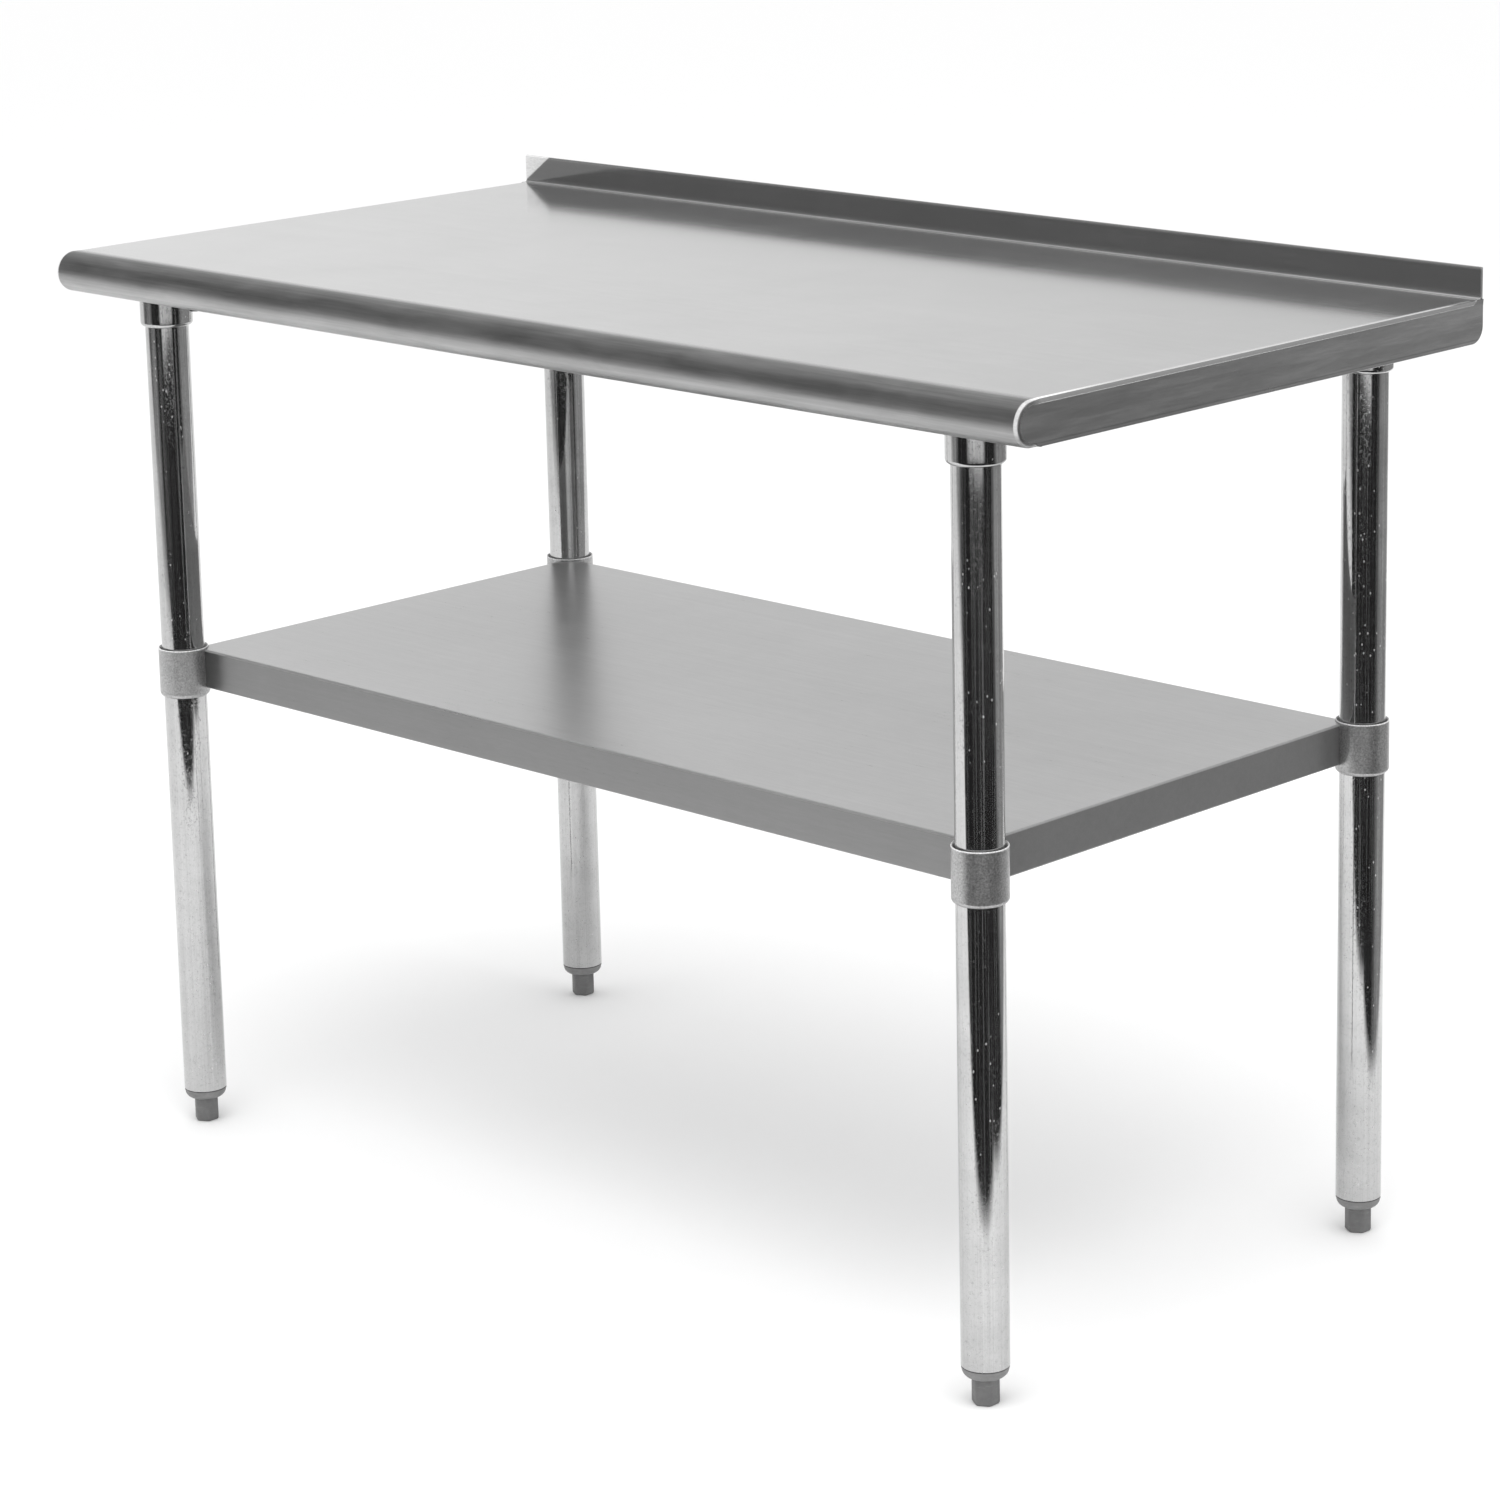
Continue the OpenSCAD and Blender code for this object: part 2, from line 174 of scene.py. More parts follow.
class Shader:
    """A principled material and the few node kinds that the finishes share."""

    def __init__(self, name, **sockets):
        self.material = bpy.data.materials.new(name)
        self.material.use_nodes = True
        self.tree = self.material.node_tree
        self.bsdf = self.tree.nodes["Principled BSDF"]
        for key, value in sockets.items():
            self.bsdf.inputs[key.replace("_", " ")].default_value = value
        self.coords = self.tree.nodes.new("ShaderNodeTexCoord").outputs["Object"]

    def link(self, output, socket):
        self.tree.links.new(output, socket)

    def scaled(self, scale):
        node = self.tree.nodes.new("ShaderNodeMapping")
        node.inputs["Scale"].default_value = scale
        self.link(self.coords, node.inputs["Vector"])
        return node.outputs["Vector"]

    def noise(self, scale, detail=3.0, rough=0.6, warp=0.0):
        """Noise with a scale in cycles per metre along X, Y and Z."""
        node = self.tree.nodes.new("ShaderNodeTexNoise")
        node.inputs["Scale"].default_value = 1.0
        node.inputs["Detail"].default_value = detail
        node.inputs["Roughness"].default_value = rough
        node.inputs["Distortion"].default_value = warp
        self.link(self.scaled(scale), node.inputs["Vector"])
        return node.outputs["Fac"]

    def cells(self, scale, output="Color"):
        """Voronoi cells with a scale in cells per metre."""
        node = self.tree.nodes.new("ShaderNodeTexVoronoi")
        node.inputs["Scale"].default_value = 1.0
        self.link(self.scaled(scale), node.inputs["Vector"])
        return node.outputs[output]

    def fit(self, value, lo, hi, to_lo, to_hi):
        """A value from lo to hi mapped to to_lo to to_hi, and held beyond both ends."""
        node = self.tree.nodes.new("ShaderNodeMapRange")
        for key, number in zip(("From Min", "From Max", "To Min", "To Max"), (lo, hi, to_lo, to_hi)):
            node.inputs[key].default_value = number
        self.link(value, node.inputs["Value"])
        return node.outputs["Result"]

    def maths(self, kind, a, b=0.0):
        node = self.tree.nodes.new("ShaderNodeMath")
        node.operation = kind
        for value, socket in zip((a, b), node.inputs):
            if isinstance(value, (int, float)):
                socket.default_value = value
            else:
                self.link(value, socket)
        return node.outputs[0]

    def times(self, a, b):
        return self.maths("MULTIPLY", a, b)

    def plus(self, a, b):
        return self.maths("ADD", a, b)

    def minus(self, a, b):
        return self.maths("SUBTRACT", a, b)

    def largest(self, a, b):
        return self.maths("MAXIMUM", a, b)

    def mixed(self, factor, low, high):
        """Colour from low to high as the factor goes from 0 to 1."""
        node = self.tree.nodes.new("ShaderNodeMix")
        node.data_type = "RGBA"
        self.link(factor, node.inputs[0])
        node.inputs[6].default_value = (*low, 1)
        node.inputs[7].default_value = (*high, 1)
        return node.outputs[2]

    def shade(self, colour, factor):
        """Colour made darker or lighter by a factor."""
        node = self.tree.nodes.new("ShaderNodeMix")
        node.data_type = "RGBA"
        node.blend_type = "MULTIPLY"
        node.inputs[0].default_value = 1
        self.link(colour, node.inputs[6])
        self.link(factor, node.inputs[7])
        return node.outputs[2]

    def bump(self, height, distance, under=None):
        """Relief whose full height is a distance in metres, on top of another normal if there is one."""
        node = self.tree.nodes.new("ShaderNodeBump")
        node.inputs["Strength"].default_value = 1.0
        node.inputs["Distance"].default_value = distance
        self.link(height, node.inputs["Height"])
        if under is not None:
            self.link(under, node.inputs["Normal"])
        return node.outputs["Normal"]

    def axis_value(self, axis):
        node = self.tree.nodes.new("ShaderNodeSeparateXYZ")
        self.link(self.coords, node.inputs[0])
        return node.outputs[axis]

    def between(self, value, lo, hi, soft):
        """1 where a value lies between two limits, with soft edges."""
        return self.times(self.fit(value, lo - soft, lo, 0, 1), self.fit(value, hi, hi + soft, 1, 0))

    def matt(self, mask, amount):
        """Where the mask is 1, a share of the metal scatters light instead of mirroring it."""
        keep = self.fit(mask, 0, 1, 1.0, 1.0 - amount)
        socket = self.bsdf.inputs["Metallic"]
        if socket.is_linked:
            keep = self.times(socket.links[0].from_socket, keep)
        self.link(keep, socket)

    def finish(self, colour, rough, normal):
        for key, output in (("Base Color", colour), ("Roughness", rough), ("Normal", normal)):
            self.link(output, self.bsdf.inputs[key])
        return self.material


def grey(v):
    return (v, v, v)


# Noise cycles per metre in brushed sheet: streaks across and along the grain, and soft clouds
FINE_ACROSS, FINE_ALONG = 620.0, 60.0
BROAD_ACROSS, BROAD_ALONG = 170.0, 3.0
CLOUDS = 7.0
STREAK_DEPTH = 5e-6


def brushed_steel(name, grain, tone, rough, contrast):
    """Brushed sheet: fine streaks along the grain axis (0 for X, 1 for Y) over soft clouds.
"""
    s = Shader(name, Metallic=1.0)
    fine = [FINE_ACROSS] * 3
    fine[grain] = FINE_ALONG
    streak = s.noise(fine, detail=4, rough=0.65)
    broad = [BROAD_ACROSS] * 3
    broad[grain] = BROAD_ALONG
    band = s.noise(broad, detail=3)
    cloud = s.noise((CLOUDS, CLOUDS, CLOUDS), detail=4, warp=0.3)
    both = s.plus(s.times(streak, 0.55), s.times(band, 0.45))
    dark, pale = grey(tone * (1 - contrast)), grey(tone * (1 + contrast))
    colour = s.mixed(s.fit(both, 0.32, 0.68, 0, 1), dark, pale)
    colour = s.shade(colour, s.fit(cloud, 0.3, 0.7, 0.95, 1.04))
    roughness = s.plus(s.fit(both, 0.3, 0.7, rough - 0.02, rough + 0.03),
                       s.fit(cloud, 0.3, 0.7, -0.01, 0.015))
    return s, colour, roughness, s.bump(streak, STREAK_DEPTH)


def rolled_front(s, nose, colour, roughness, normal):
    """The roll is duller than the top; its colour is darkened all over as painted shade and mottled by
    handling marks and drawn lines along it.
    """
    mottle = s.noise((11.0, 70.0, 70.0), detail=4, rough=0.6, warp=0.5)
    lines = s.noise((5.0, 420.0, 420.0), detail=3)
    both = s.plus(s.times(mottle, 0.6), s.times(lines, 0.4))
    # Painted shade: the roll's colour is darkened by 0.52 to 0.80, varied by the handling marks and lines
    shade_and_marks = s.minus(s.fit(both, 0.34, 0.66, 0.52, 0.80), 1.0)
    colour = s.shade(colour, s.plus(s.times(nose, shade_and_marks), 1.0))
    roughness = s.plus(roughness, s.times(nose, s.fit(mottle, 0.3, 0.7, 0.30, 0.40)))
    normal = s.bump(s.times(nose, mottle), 120e-6, under=normal)
    s.matt(nose, 0.015)
    return colour, roughness, normal


def dressed_corner(s, x, y, z):
    """1 on the ground triangle at the left end of the upstand's front face."""
    along = s.fit(x, -HALF_LENGTH, -HALF_LENGTH + DRESSED, 0, 1)
    up = s.fit(z, WORK_Z, WORK_Z + UPSTAND, 0, 1)
    patch = s.fit(s.minus(along, up), -0.10, -0.01, 1, 0)
    return s.times(patch, s.between(y, FACE_Y - 0.2 * MM, FACE_Y + 0.6 * MM, 0.3 * MM))


def end_weld_and_highlight(s, nose, x, y, z):
    """1 on the ground weld that follows the end bends round the roll, and fainter along the top; its colour
    is lightened there as a painted highlight.
    """
    bend_x = HALF_LENGTH - END_R
    end_x = s.minus(s.maths("ABSOLUTE", x), s.times(nose, 1.2 * MM))
    weld_and_highlight = s.between(end_x, bend_x - 0.8 * MM, bend_x + 1.5 * MM, 0.6 * MM)
    weld_and_highlight = s.times(weld_and_highlight, s.fit(y, FADE_FROM - 4 * MM, FADE_FROM, 1, 0))
    weld_and_highlight = s.times(weld_and_highlight, s.fit(z, NOSE_Z - 14 * MM, NOSE_Z - 6 * MM, 0, 1))
    return s.times(weld_and_highlight, s.fit(y, NOSE_Y + 10 * MM, NOSE_Y + 100 * MM, 1.0, 0.25))


def worktop_finish():
    """Brushed top with a duller rolled front in painted shade, ground end seams lightened as a painted
    highlight, painted shade on the upstand's front face and one dressed corner of the upstand.
    """
    s, colour, roughness, normal = brushed_steel("worktop_steel", 0, *TOP_LOOK)
    x, y, z = (s.axis_value(axis) for axis in "XYZ")
    nose = s.fit(y, NOSE_Y - 2 * MM, NOSE_Y + 10 * MM, 1, 0)
    colour, roughness, normal = rolled_front(s, nose, colour, roughness, normal)
    deck = s.times(s.fit(z, WORK_Z + 1 * MM, WORK_Z + 6 * MM, 1, 0), s.minus(1.0, nose))
    s.matt(deck, DECK_HAZE)
    roughness = s.plus(roughness, s.times(deck, 0.02))
    s.matt(s.minus(1.0, s.largest(deck, nose)), 0.010)
    patch = dressed_corner(s, x, y, z)
    s.matt(patch, 0.95)
    # Painted shade: the upstand's front face is darkened, except on the dressed corner
    face = s.times(s.fit(y, FACE_Y + 0.3 * MM, FACE_Y + 0.9 * MM, 1, 0),
                   s.fit(z, WORK_Z + 1 * MM, WORK_Z + 3 * MM, 0, 1))
    face = s.times(face, s.minus(1.0, patch))
    colour = s.shade(colour, s.fit(face, 0, 1, 1.0, FACE_PAINTED_SHADE))
    weld_and_highlight = end_weld_and_highlight(s, nose, x, y, z)
    s.matt(weld_and_highlight, 0.75)
    inner_bend = s.times(s.between(y, BEND_Y + 1.1 * MM, FACE_Y - 0.5 * MM, 0.4 * MM),
                         s.fit(z, WORK_Z + BEND_R, WORK_Z + BEND_R + 0.3 * MM, 1, 0))
    s.matt(inner_bend, 0.18)
    s.matt(s.fit(z, UPSTAND_Z - 1.6 * MM, UPSTAND_Z + 0.2 * MM, 0, 1), 0.26)
    # Painted highlight: the ground weld band along the end bends is lightened in colour
    colour = s.shade(colour, s.fit(weld_and_highlight, 0, 1, 1.0, 1.35))
    dressed = s.noise((300.0, 300.0, 900.0), detail=3)
    paler = s.times(patch, s.fit(dressed, 0.3, 0.7, -0.22, 0.05))
    colour = s.shade(colour, s.minus(1.0, paler))
    roughness = s.plus(roughness, s.times(s.largest(patch, weld_and_highlight), 0.3))
    return s.finish(colour, roughness, normal)


def panel_finish():
    """Brushed end panel, darker towards the front as painted shade, with the faint line of its inner fold
    near the bottom darkened as painted shade.
    """
    s, colour, roughness, normal = brushed_steel("end_panel_steel", 1, *PANEL_LOOK)
    y, z = s.axis_value("Y"), s.axis_value("Z")
    # Painted shade: the colour darkens from back to front
    colour = s.shade(colour, s.fit(y, -HALF_DEPTH, HALF_DEPTH, 0.74, 1.10))
    smear = s.noise((40.0, 9.0, 130.0), detail=4, rough=0.6, warp=0.4)
    colour = s.shade(colour, s.fit(smear, 0.35, 0.68, 0.90, 1.08))
    s.matt(s.fit(smear, 0.45, 0.75, 0.7, 1), PANEL_HAZE)
    # The fold line's relief is real; its darker colour is painted shade in the crease
    fold_line_and_shade = s.between(z, PANEL_LO.z + 3.3 * MM, PANEL_LO.z + 3.7 * MM, 0.4 * MM)
    colour = s.shade(colour, s.fit(fold_line_and_shade, 0, 1, 1.0, 0.72))
    normal = s.bump(fold_line_and_shade, -60e-6, under=normal)
    return s.finish(colour, roughness, normal)


def shelf_finish():
    """Brushed shelf, darker on its front and side flanges as painted shade, with a wear line along the top
    bends.
    """
    s, colour, roughness, normal = brushed_steel("shelf_steel", 0, *SHELF_LOOK)
    y, z = s.axis_value("Y"), s.axis_value("Z")
    top = SHELF_HI.z
    flange = s.fit(z, top - 2.2 * MM, top - 1.2 * MM, 1, 0)
    front = s.times(flange, s.fit(y, SHELF_LO.y + 0.5 * MM, SHELF_LO.y + 1.2 * MM, 1, 0))
    side = s.times(flange, s.fit(s.maths("ABSOLUTE", s.axis_value("X")),
                                 SHELF_HI.x - 1.2 * MM, SHELF_HI.x - 0.5 * MM, 0, 1))
    # Painted shade: the front and side flanges are darkened
    for mask in (front, side):
        colour = s.shade(colour, s.fit(mask, 0, 1, 1.0, FLANGE_PAINTED_SHADE))
    s.matt(side, 0.25)
    s.matt(s.between(z, top - 1.6 * MM, top - 0.2 * MM, 0.4 * MM), 0.24)
    return s.finish(colour, roughness, normal)


def polished_tube(name, tone, rough, haze):
    """Bright drawn tube: lengthwise draw lines that catch some haze, small spots and scratches."""
    s = Shader(name, Metallic=1.0)
    fine = s.noise((950.0, 950.0, 2.0), detail=3, rough=0.6)
    broad = s.noise((190.0, 190.0, 1.4), detail=2)
    spots = s.noise((520.0, 520.0, 300.0), detail=4, rough=0.75, warp=0.4)
    patches = s.noise((9.0, 9.0, 14.0), detail=3)
    pits = s.cells((190.0, 190.0, 110.0), "Distance")
    scratches = s.noise((70.0, 70.0, 130.0), detail=2, warp=2.5)
    nicks = s.times(s.fit(pits, 0.09, 0.15, 1, 0), s.fit(patches, 0.40, 0.52, 0.15, 1))
    worn = s.times(s.fit(spots, 0.54, 0.68, 0, 1), s.fit(patches, 0.38, 0.62, 0.35, 1))
    scratch = s.times(s.between(scratches, 0.497, 0.503, 0.006), s.fit(spots, 0.42, 0.52, 0, 1))
    streak = s.times(s.fit(fine, 0.47, 0.66, 0, 1), s.fit(broad, 0.36, 0.64, 0.1, 1))
    s.matt(s.largest(s.times(worn, 0.6), streak), haze)
    s.matt(nicks, 0.65)
    colour = s.mixed(s.fit(fine, 0.36, 0.66, 0, 1), grey(tone * 0.88), grey(tone * 1.06))
    colour = s.shade(colour, s.fit(worn, 0, 1, 1.0, 0.76))
    colour = s.shade(colour, s.fit(scratch, 0, 1, 1.0, 0.62))
    cloud = s.noise((14.0, 14.0, 30.0), detail=4, rough=0.65)
    colour = s.shade(colour, s.fit(cloud, 0.3, 0.7, 0.90, 1.05))
    roughness = s.plus(s.fit(broad, 0.3, 0.7, rough - 0.01, rough + 0.03), s.times(worn, 0.16))
    normal = s.bump(fine, 7e-6)
    normal = s.bump(s.plus(worn, nicks), 12e-6, under=normal)
    return s.finish(colour, roughness, normal)


def collar_finish():
    """Tumbled collar with a fine all-over grain, a burnished bottom rim, and a top rim made matt and
    lightened in colour as a painted highlight.
    """
    s = Shader("collar_steel", Metallic=1.0)
    grain = s.noise((600.0, 600.0, 600.0), detail=4, rough=0.7)
    rings = s.noise((40.0, 40.0, 500.0), detail=2)
    cloud = s.noise((45.0, 45.0, 45.0), detail=3)
    both = s.plus(s.times(grain, 0.9), s.times(rings, 0.1))
    colour = s.mixed(s.fit(both, 0.36, 0.64, 0, 1), grey(0.30), grey(0.54))
    roughness = s.plus(s.fit(grain, 0.3, 0.7, 0.30, 0.40), s.fit(cloud, 0.3, 0.7, -0.03, 0.04))
    z = s.axis_value("Z")
    s.matt(s.fit(grain, 0.3, 0.7, 0.4, 1), 0.17)
    # Painted highlight: the top rim is made matt and lightened in colour
    rim = s.fit(z, COLLAR_HI.z - 1.3 * MM, COLLAR_HI.z - 0.6 * MM, 0, 1)
    s.matt(rim, 0.85)
    s.matt(s.fit(z, COLLAR_LO.z + 1.0 * MM, COLLAR_LO.z + 2.2 * MM, 1, 0), 0.45)
    colour = s.shade(colour, s.fit(rim, 0, 1, 1.0, 1.7))
    return s.finish(colour, roughness, s.bump(both, 12e-6))


def galvanised(name):
    """Hot-dipped sheet: spangles a few millimetres across under a dull skin."""
    s = Shader(name, Metallic=0.85)
    spangles = (130.0, 130.0, 130.0)
    spangle = s.cells(spangles)
    edge = s.cells(spangles, "Distance")
    frost = s.noise((420.0, 420.0, 420.0), detail=4, rough=0.7)
    brightness = s.tree.nodes.new("ShaderNodeRGBToBW")
    s.link(spangle, brightness.inputs[0])
    colour = s.mixed(brightness.outputs[0], (0.40, 0.42, 0.43), (0.66, 0.68, 0.69))
    colour = s.shade(colour, s.fit(frost, 0.3, 0.7, 0.88, 1.08))
    roughness = s.fit(brightness.outputs[0], 0, 1, 0.34, 0.56)
    return s.finish(colour, roughness, s.bump(edge, 8e-6))


def moulded_plastic(name, tone):
    """Moulded nylon with a fine spark-eroded texture, painted shade in the joint under the tube and a
    darker barrel.
    """
    s = Shader(name, Specular_IOR_Level=0.45)
    fine = s.noise((1400.0, 1400.0, 1400.0), detail=3)
    cloud = s.noise((90.0, 90.0, 90.0), detail=4, rough=0.65)
    scuff = s.noise((60.0, 60.0, 420.0), detail=4, rough=0.7, warp=0.3)
    colour = s.mixed(s.fit(cloud, 0.3, 0.7, 0, 1), grey(tone * 0.84), grey(tone * 1.14))
    colour = s.shade(colour, s.fit(scuff, 0.55, 0.75, 1.0, 1.35))
    z = s.axis_value("Z")
    # Painted shade: a dark line just under the tube's end, where the joint's shadow falls
    painted_joint_shade = s.fit(z, LEG_LO.z - 1.1 * MM, LEG_LO.z - 0.6 * MM, 0, 1)
    colour = s.shade(colour, s.fit(painted_joint_shade, 0, 1, 1.0, 0.30))
    barrel = s.fit(z, BARREL_TOP - 0.2 * MM, BARREL_TOP + 0.4 * MM, 1, 0)
    colour = s.shade(colour, s.fit(barrel, 0, 1, 1.12, 0.80))
    roughness = s.fit(fine, 0.3, 0.7, 0.42, 0.6)
    return s.finish(colour, roughness, s.bump(fine, 30e-6))


def plated(name, tone, rough, tint=(1.0, 1.0, 1.0)):
    """Plated or oxidised fasteners with small tone changes."""
    s = Shader(name, Metallic=1.0)
    mottle = s.noise((600.0, 600.0, 600.0), detail=4, rough=0.65)
    low = tuple(tone * 0.78 * t for t in tint)
    high = tuple(tone * 1.15 * t for t in tint)
    colour = s.mixed(s.fit(mottle, 0.3, 0.7, 0, 1), low, high)
    roughness = s.fit(mottle, 0.3, 0.7, rough - 0.06, rough + 0.08)
    return s.finish(colour, roughness, s.bump(mottle, 8e-6))


# Grey, roughness and streak contrast of each sheet, the shares of its parts, and the painted shade on the
# upstand's face and the shelf's flanges
TOP_LOOK = (0.62, 0.10, 0.05)
PANEL_LOOK = (0.305, 0.24, 0.13)
SHELF_LOOK = (0.64, 0.29, 0.06)
DECK_HAZE, PANEL_HAZE = 0.13, 0.24
FACE_PAINTED_SHADE, FLANGE_PAINTED_SHADE = 0.68, 0.38

LEG_STEEL = polished_tube("leg_chrome", 0.53, 0.05, 0.15)
SOCKET_STEEL = polished_tube("socket_steel", 0.52, 0.08, 0.08)
COLLAR_STEEL = collar_finish()
CHANNEL_STEEL = galvanised("galvanised_steel")
FOOT_PLASTIC = moulded_plastic("foot_plastic", 0.17)
SCREW_STEEL = plated("screw_steel", 0.16, 0.36)
ZINC = plated("zinc_fastener", 0.62, 0.3, (1.0, 0.99, 0.95))

# ---- Worktop sheet: rolled front, flat top, hemmed upstand ----

# Sheet thickness, roll radius and centre, and the lip that the roll ends in
SHEET = 1.2 * MM
NOSE_R = (PANEL_HI.z - PANEL_LO.z) / 2
NOSE_Y = -HALF_DEPTH + NOSE_R
NOSE_Z = WORK_Z - NOSE_R
NOSE_LIP = 11 * MM
# Radii of the hem on the upstand, of the bend at its foot and of the bends at both ends
HEM_R = 1.3 * MM
BEND_R = 2.5 * MM
END_R = 4 * MM
UPSTAND = TOP_HI.z - WORK_Z
UPSTAND_Z = TOP_HI.z - HEM_R
# Front face of the upstand, the start of its bend, and where the end bends begin to fade out
FACE_Y = HALF_DEPTH - 2 * HEM_R
BEND_Y = FACE_Y - BEND_R
FADE_FROM = BEND_Y - 9 * MM
DRESSED = 39 * MM
REAR_Z = WORK_Z - 21 * MM
REAR_LIP = 10 * MM


def end_bend(y, z):
    """Degrees that the end bend turns: full on top and roll, none on the upstand and at the lip's end."""
    if z > WORK_Z or y > BEND_Y:
        return 0.0
    if z < NOSE_Z and y > NOSE_Y:
        return 90 * (1 - smooth_step(y, NOSE_Y, NOSE_Y + NOSE_LIP))
    return 90 * (1 - smooth_step(y, FADE_FROM, BEND_Y))


def worktop_outline():
    """(y, z) from the front lip round the roll, over the top, up the upstand and down its back."""
    line = [(y, WORK_Z - 2 * NOSE_R) for y in spread(NOSE_Y + NOSE_LIP, NOSE_Y, 8)[:-1]]
    line += arc(NOSE_Y, NOSE_Z, NOSE_R, 270, 90, 48)
    line += [(y, WORK_Z) for y in spread(NOSE_Y, FADE_FROM, 24)[1:]]
    line += [(y, WORK_Z) for y in spread(FADE_FROM, BEND_Y, 8)[1:-1]]
    line += arc(BEND_Y, WORK_Z + BEND_R, BEND_R, -90, 0, 10)
    line += [(FACE_Y, z) for z in spread(WORK_Z + BEND_R, UPSTAND_Z, 6)[1:]]
    line += arc(HALF_DEPTH - HEM_R, UPSTAND_Z, HEM_R, 180, 0, 14)[1:]
    line += [(HALF_DEPTH, z) for z in spread(UPSTAND_Z, REAR_Z + HEM_R, 6)[1:]]
    line += arc(HALF_DEPTH - HEM_R, REAR_Z + HEM_R, HEM_R, 0, -90, 6)[1:]
    line += [(HALF_DEPTH - REAR_LIP, REAR_Z)]
    return line


def build_worktop():
    """One sheet swept along X, with a quarter bend at each end that dies into the end panels."""
    outline = worktop_outline()
    normals = outward(outline)
    lengths = [0.0]
    for a, b in zip(outline, outline[1:]):
        lengths.append(lengths[-1] + math.hypot(b[0] - a[0], b[1] - a[1]))
    inner = spread(-HALF_LENGTH + END_R, HALF_LENGTH - END_R, 48)
    turns = spread(0, 1, 8)
    stations = [(-1, t) for t in reversed(turns)]
    stations += [(x, None) for x in inner[1:-1]]
    stations += [(1, t) for t in turns]
    rows, uvs = [], []
    for where, t in stations:
        row, uv = [], []
        for (y, z), (ny, nz), v in zip(outline, normals, lengths):
            if t is None:
                x, sink = where, 0.0
            else:
                full = math.radians(end_bend(y, z))
                end = HALF_LENGTH - SHEET * (1 - full / (math.pi / 2))
                reach = end - END_R * math.sin(full)
                start = HALF_LENGTH - END_R
                bent = reach + END_R * math.sin(full * t) if full else start + (reach - start) * t
                x = where * bent
                sink = END_R * (1 - math.cos(full * t))
            row.append((x, y - ny * sink, z - nz * sink))
            uv.append((x, v))
        rows.append(row)
        uvs.append(uv)
    bm = bmesh.new()
    add_grid(bm, rows, uvs)
    bmesh.ops.recalc_face_normals(bm, faces=bm.faces)
    top = max(bm.faces, key=lambda f: f.calc_center_median().z)
    if top.normal.z < 0:
        bmesh.ops.reverse_faces(bm, faces=bm.faces)
    piece("worktop_sheet", bm, "table", ["worktop"], worktop_finish(), 50,
          [("SOLIDIFY", {"thickness": SHEET, "offset": -1.0, "use_even_offset": True})])


# ---- End panels ----


PANEL_CORNER_R = 15 * MM
PANEL_RIM_R = 1.0 * MM
PANEL_LIP = 10.8 * MM


def panel_outline():
    """(y, z, edge) round the panel; edge is 1 where its rim shows and 0 along the sheet it is welded to."""
    def sunk(y, z):
        return END_R * (1 - math.cos(math.radians(end_bend(y, z))))

    along_top = spread(NOSE_Y, FADE_FROM, 16) + spread(FADE_FROM, BEND_Y, 8)[1:]
    top = [(y, WORK_Z - sunk(y, WORK_Z)) for y in along_top]
    top.append((HALF_DEPTH, WORK_Z))
    corner_r = PANEL_CORNER_R
    low = PANEL_LO.z
    lip_end = NOSE_Y + NOSE_LIP
    back = [(HALF_DEPTH, z) for z in spread(WORK_Z, low + corner_r, 4)[1:-1]]
    back += arc(HALF_DEPTH - corner_r, low + corner_r, corner_r, 0, -90, 14)
    bottom = [(y, low) for y in spread(HALF_DEPTH - corner_r, lip_end, 16)[1:]]
    lip = [(y, low + sunk(y, low)) for y in spread(lip_end, NOSE_Y, 8)[1:-1]]
    nose = arc(NOSE_Y, NOSE_Z, NOSE_R - END_R, 270, 90, 32)[:-1]
    line = [(y, z, 0.0) for y, z in top] + [(y, z, 1.0) for y, z in back + bottom]
    line += [(y, z, 0.0) for y, z in lip + nose]
    return line


def build_end_panel(side, node):
    """Plate with a rounded outer rim and a lip turned in along its bottom; side is -1 or 1."""
    outline = panel_outline()
    normals = outward([(y, z) for y, z, _ in outline], closed=True)
    quarter = spread(0, math.pi / 2, 4)
    loops = [(PANEL_RIM_R * (1 - math.sin(a)), PANEL_RIM_R * (1 - math.cos(a))) for a in quarter]
    loops.append((0.0, SHEET))
    bm = bmesh.new()
    rows, uvs = [], []
    for inset, deep in loops:
        row = []
        for (y, z, edge), (ny, nz) in zip(outline, normals):
            row.append((side * (HALF_LENGTH - deep), y - ny * inset * edge, z - nz * inset * edge))
        rows.append(row)
        uvs.append([(p[1], p[2]) for p in row + row[:1]])
    made = add_grid(bm, rows, uvs, closed=True)
    add_cap(bm, made[0], lambda co: (co.y, co.z))
    add_cap(bm, made[-1], lambda co: (co.y, co.z), flip=True)
    lip_lo = (HALF_LENGTH - SHEET - PANEL_LIP, NOSE_Y + NOSE_LIP + 2 * MM, PANEL_LO.z)
    lip_hi = (HALF_LENGTH - SHEET, HALF_DEPTH - PANEL_CORNER_R, PANEL_LO.z + SHEET)
    add_slab(bm, lip_lo, lip_hi, side, 0.4 * MM)
    bmesh.ops.recalc_face_normals(bm, faces=bm.faces)
    piece(node + "_sheet", bm, "table", [node], PANEL_STEEL, 50)


def add_slab(bm, lo, hi, side, edge_r):
    """A flat strip with softened edges, mirrored in X for the left side."""
    corners = bmesh.ops.create_cube(bm, size=1.0)["verts"]
    for vert in corners:
        spot = [a + (b - a) * (c + 0.5) for a, b, c in zip(lo, hi, vert.co)]
        vert.co = (side * spot[0], spot[1], spot[2])
    edges = list({e for v in corners for e in v.link_edges})
    bmesh.ops.bevel(bm, geom=edges, offset=edge_r, segments=2, affect="EDGES", profile=0.5)


